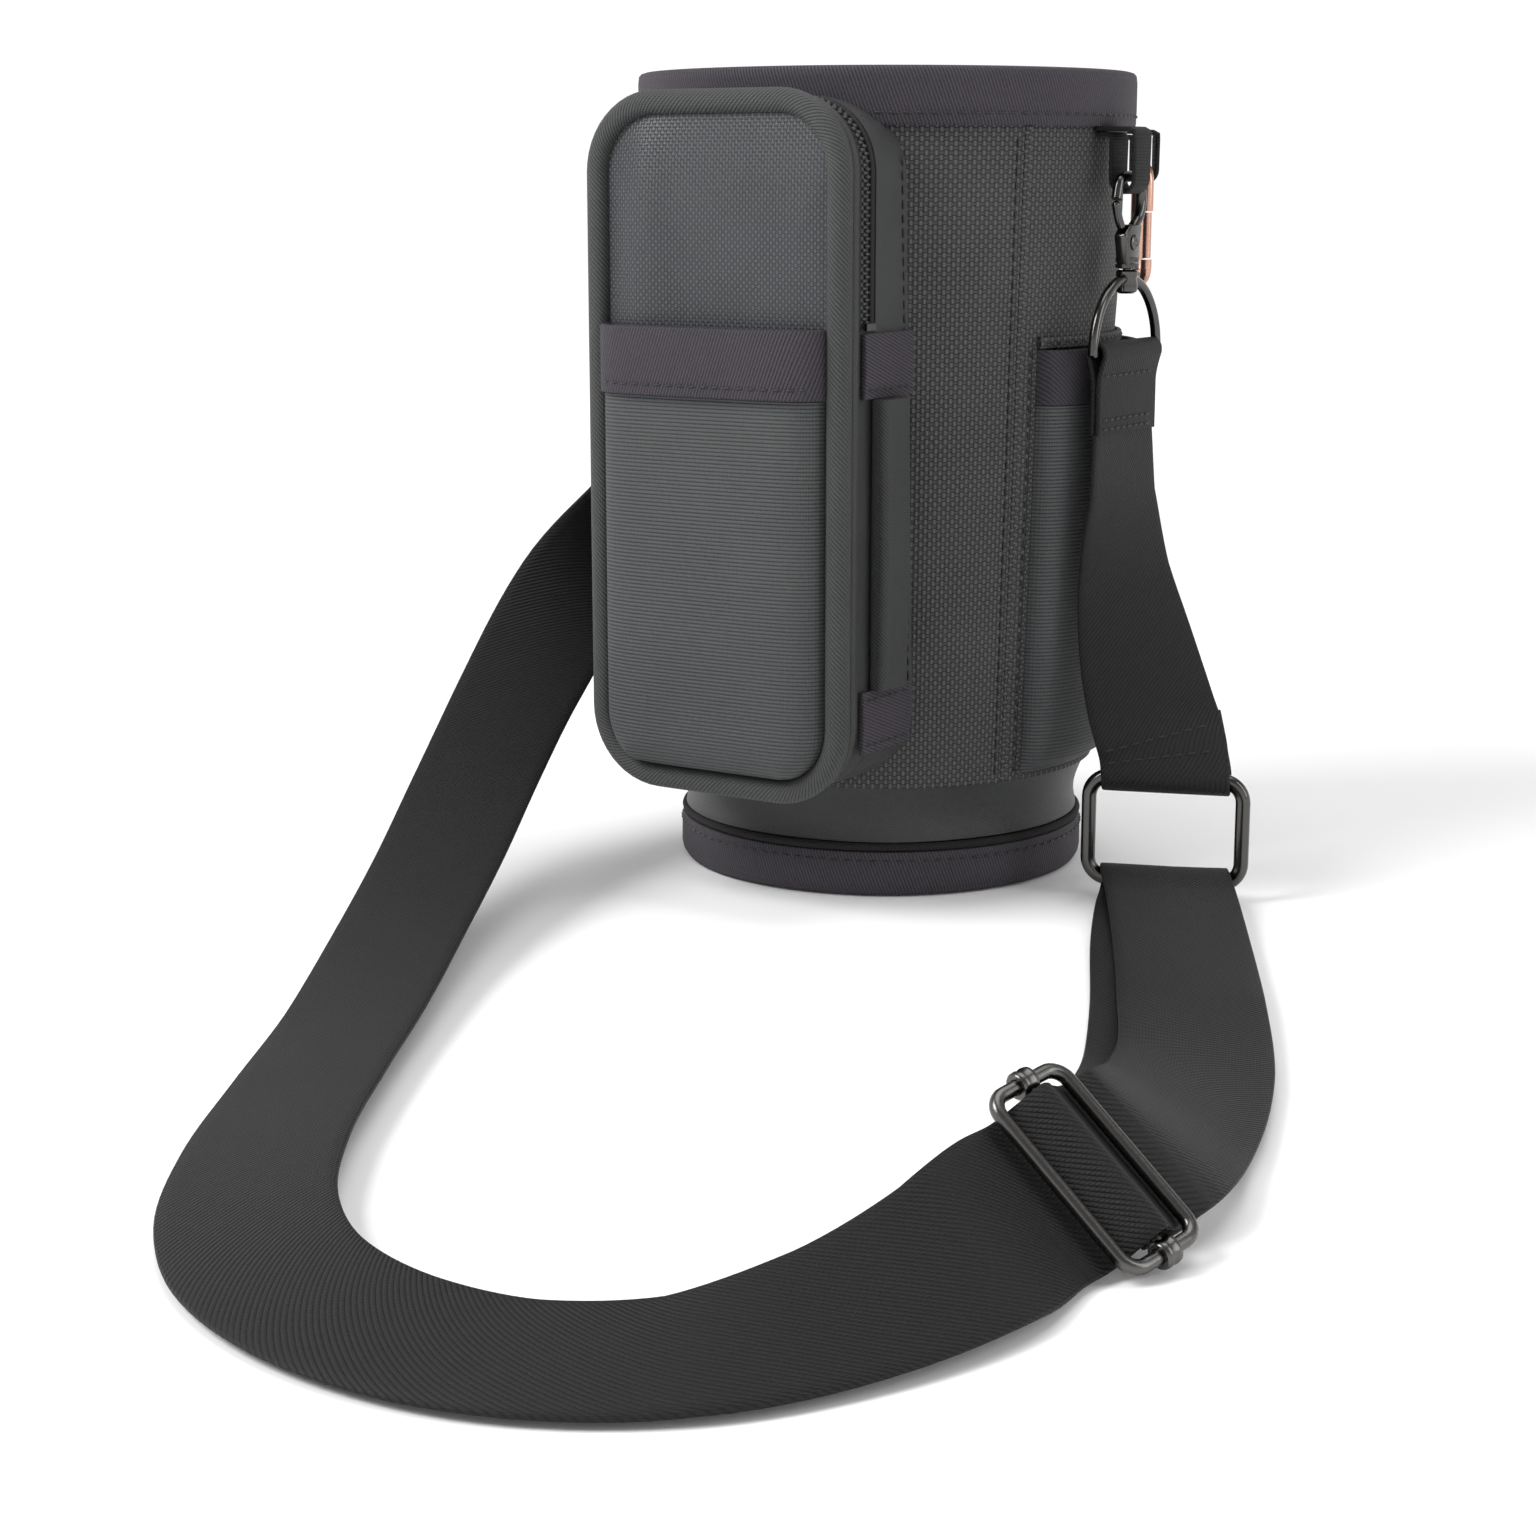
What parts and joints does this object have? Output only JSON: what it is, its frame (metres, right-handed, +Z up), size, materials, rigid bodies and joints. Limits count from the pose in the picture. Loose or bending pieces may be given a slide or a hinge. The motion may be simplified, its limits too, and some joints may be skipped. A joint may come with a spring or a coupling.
{
  "type": "rope storage bag",
  "caption": "Open-topped cylindrical carry bag with a zip pocket, slip pockets, a narrow foot and a webbing shoulder strap on swivel snap hooks.",
  "frame": {"origin": "centre of the round base, on the surface it stands on", "axes": "+Z up along the bag's axis, -Y out of the zip pocket's face, +X towards the right strap loop"},
  "size_m": [0.341, 0.4852, 0.243],
  "materials": {
    "wall": "coarse basket weave",
    "pocket": "fine weave with a slight sheen",
    "pocket_trim": "fine woven piping",
    "ribbed": "horizontally ribbed weave",
    "twill": "fine twill",
    "tape": "grosgrain binding tape",
    "lining": "plain lining",
    "board": "stiff board",
    "cord": "covered cord",
    "zip": "nylon coil and tape",
    "webbing": "twill webbing",
    "gunmetal": "black nickel",
    "rose": "rose gold"
  },
  "bodies": {
    "root": {"body_wall": "wall", "lining": "lining", "base_cover": "wall", "base_board": "board", "base_binding": "tape", "foot_seam_cord": "cord", "foot_gusset": "twill", "rim_binding": "tape", "pocket_piping": "pocket_trim", "pocket_welt": "pocket_trim", "pocket_front_panel": "pocket", "zip_tape_front": "zip", "zip_coil": "zip", "zip_tape_rear": "zip", "pocket_side_lower": "twill", "pocket_side_rear": "twill", "slip_pocket_panel": "ribbed", "slip_pocket_binding": "tape", "zip_stop_left": "gunmetal", "zip_stop_right": "gunmetal", "side_tape_upper": "tape", "side_tape_lower": "tape", "grab_strip": "twill", "side_pocket_panel": "ribbed", "side_pocket_binding": "tape", "side_pocket_welt": "wall", "strap_ring": "gunmetal", "adjuster_frame": "gunmetal", "adjuster_bar": "gunmetal", "connecting_web": "webbing", "shoulder_strap": "webbing", "clip_loop": "webbing", "strap_loop_right": "webbing", "snap_eye_right": "gunmetal", "d_ring_right": "gunmetal", "strap_tab_right": "webbing", "strap_loop_left": "webbing", "snap_eye_left": "gunmetal", "d_ring_left": "gunmetal", "strap_tab_left": "webbing"},
    "zip_slider_body": {"zip_slider": "gunmetal"},
    "zip_pull_body": {"zip_pull": "gunmetal"},
    "clip": {"clip_body": "rose"},
    "clip_gate_body": {"clip_gate": "rose"},
    "snap_right": {"snap_hook_right": "gunmetal", "snap_rivet_right": "gunmetal"},
    "gate_right": {"snap_gate_right": "gunmetal"},
    "snap_left": {"snap_hook_left": "gunmetal", "snap_rivet_left": "gunmetal"},
    "gate_left": {"snap_gate_left": "gunmetal"}
  },
  "joints": [
    {"name": "snap_swivel_right", "type": "hinge", "parent": "root", "child": "snap_right", "pos_m": [0.0827, 0, 0.2], "axis": [0, 0, 1], "range_deg": [-12, 12]},
    {"name": "gate_swing_right", "type": "hinge", "parent": "snap_right", "child": "gate_right", "pos_m": [0.0827, -0.0049, 0.1984], "axis": [-1, 0, 0], "range_deg": [0, 25], "stiffness_Nm_per_rad": 0.01},
    {"name": "snap_swivel_left", "type": "hinge", "parent": "root", "child": "snap_left", "pos_m": [-0.0827, 0, 0.2], "axis": [0, 0, 1], "range_deg": [-12, 12]},
    {"name": "gate_swing_left", "type": "hinge", "parent": "snap_left", "child": "gate_left", "pos_m": [-0.0827, 0.0049, 0.1984], "axis": [1, 0, 0], "range_deg": [0, 25], "stiffness_Nm_per_rad": 0.01},
    {"name": "zip_slide", "type": "slide", "parent": "root", "child": "zip_slider_body", "axis": [0, 0, 1], "range_m": [0, 0.022]},
    {"name": "zip_pull_swing", "type": "hinge", "parent": "zip_slider_body", "child": "zip_pull_body", "pos_m": [-0.0453, -0.0813, 0.1836], "axis": [0, 1, 0], "range_deg": [0, 165]},
    {"name": "clip_swing", "type": "hinge", "parent": "root", "child": "clip", "pos_m": [0.06048, 0.0564, 0.2153], "axis": [0.682, -0.7314, 0], "range_deg": [0, 55]},
    {"name": "clip_gate_swing", "type": "hinge", "parent": "clip", "child": "clip_gate_body", "pos_m": [0.06376, 0.05289, 0.1876], "axis": [-0.7314, -0.682, 0], "range_deg": [0, 14], "stiffness_Nm_per_rad": 0.005}
  ]
}
